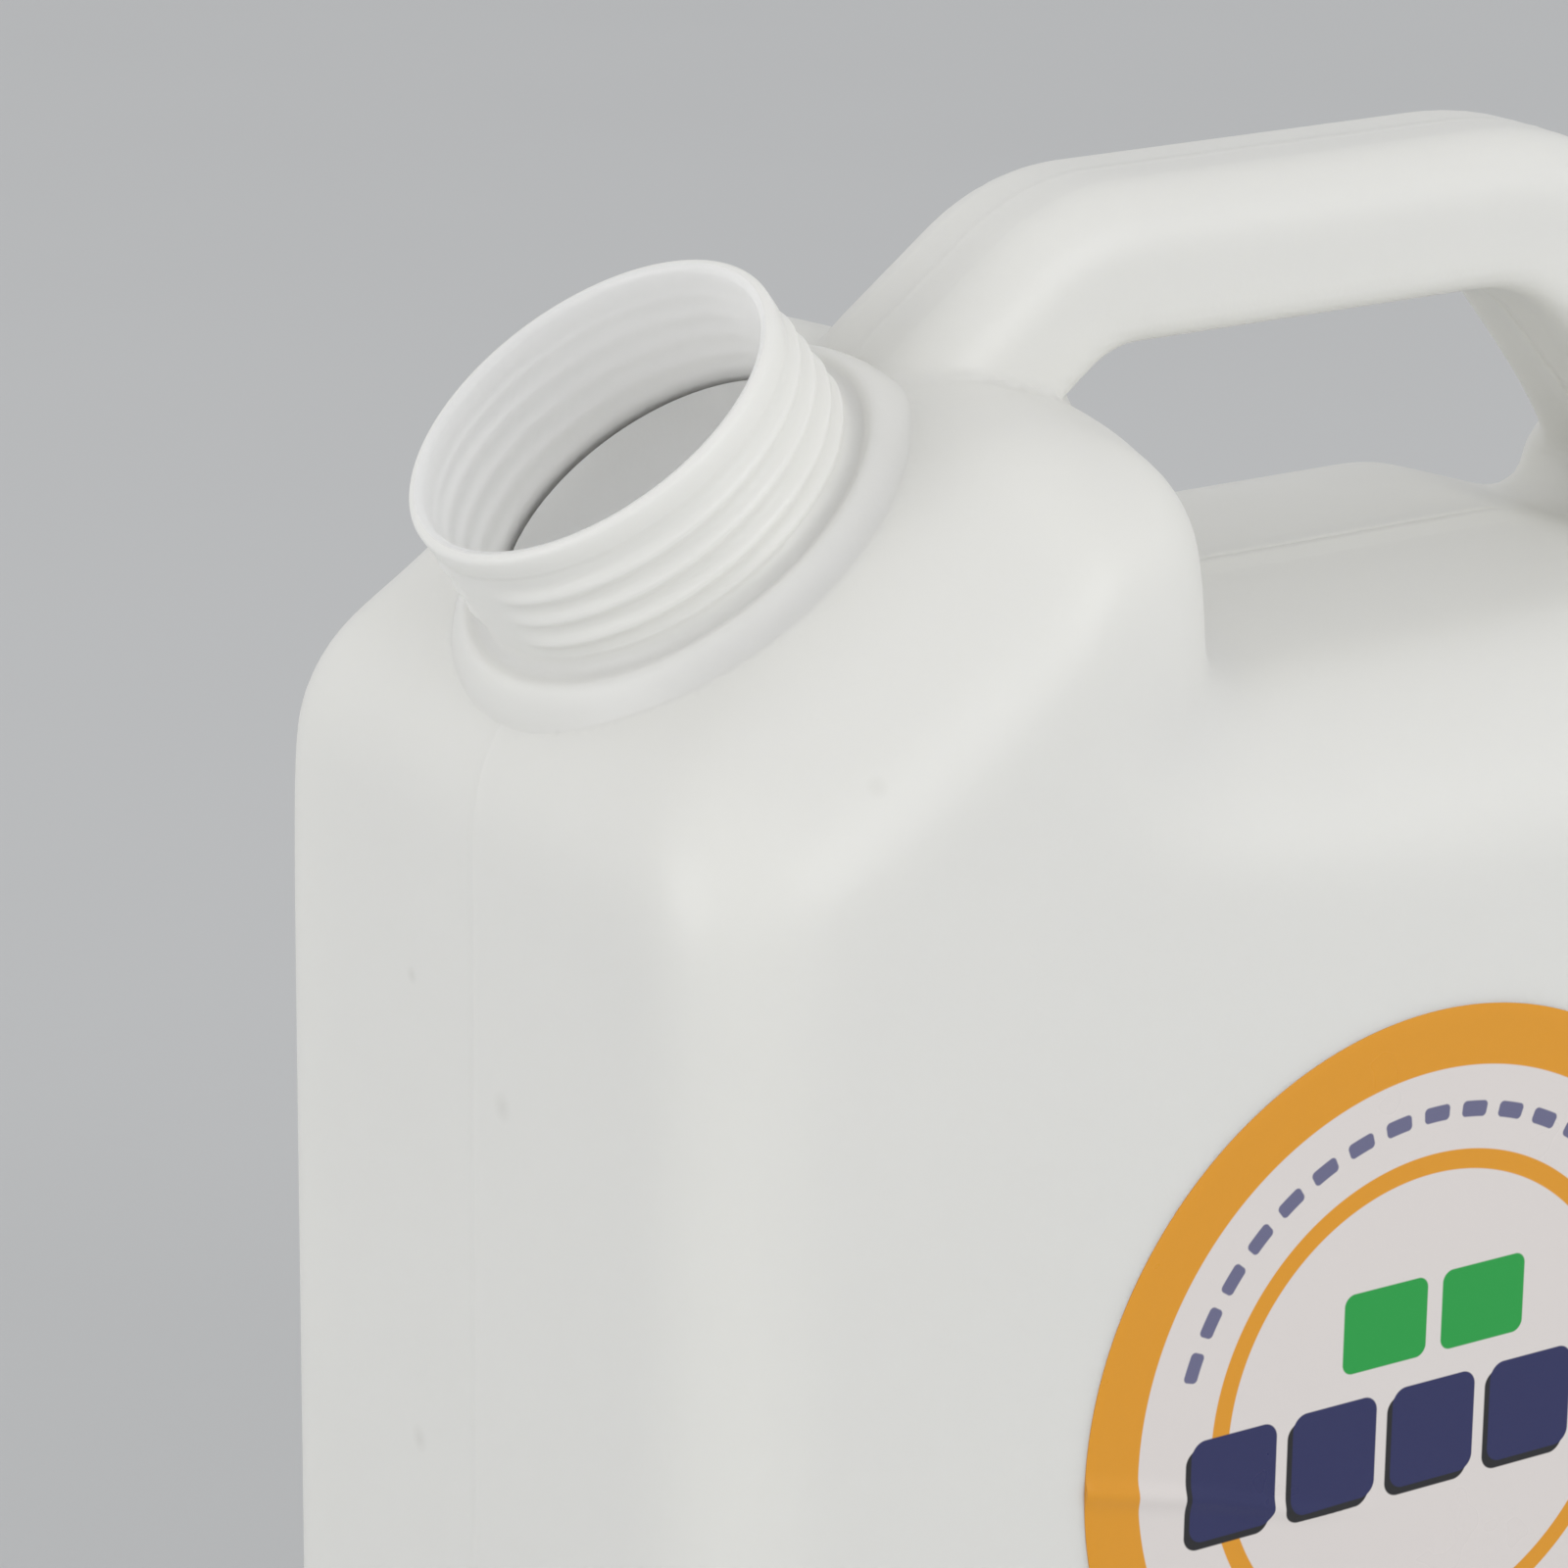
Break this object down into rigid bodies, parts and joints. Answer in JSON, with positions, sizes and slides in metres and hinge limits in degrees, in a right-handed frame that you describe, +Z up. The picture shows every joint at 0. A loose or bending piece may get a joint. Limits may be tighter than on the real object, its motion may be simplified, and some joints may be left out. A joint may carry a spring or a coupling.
{
  "type": "fuel mixing bottle",
  "caption": "White blow-moulded bottle with a slanted shoulder, a wide tilted threaded neck, a hollow grip handle and a round label, for mixing and pouring fuel.",
  "frame": {"origin": "middle of the flat base face, under the middle of the body's width and depth", "axes": "+Z up, +X along the handle away from the neck, -Y towards the face with the label"},
  "size_m": [0.2064, 0.1042, 0.2424],
  "materials": {
    "bottle": "satin milky polyethylene",
    "label": "printed film with plain rings"
  },
  "bodies": {
    "root": {"bottle": "bottle", "label": "label"}
  },
  "joints": []
}
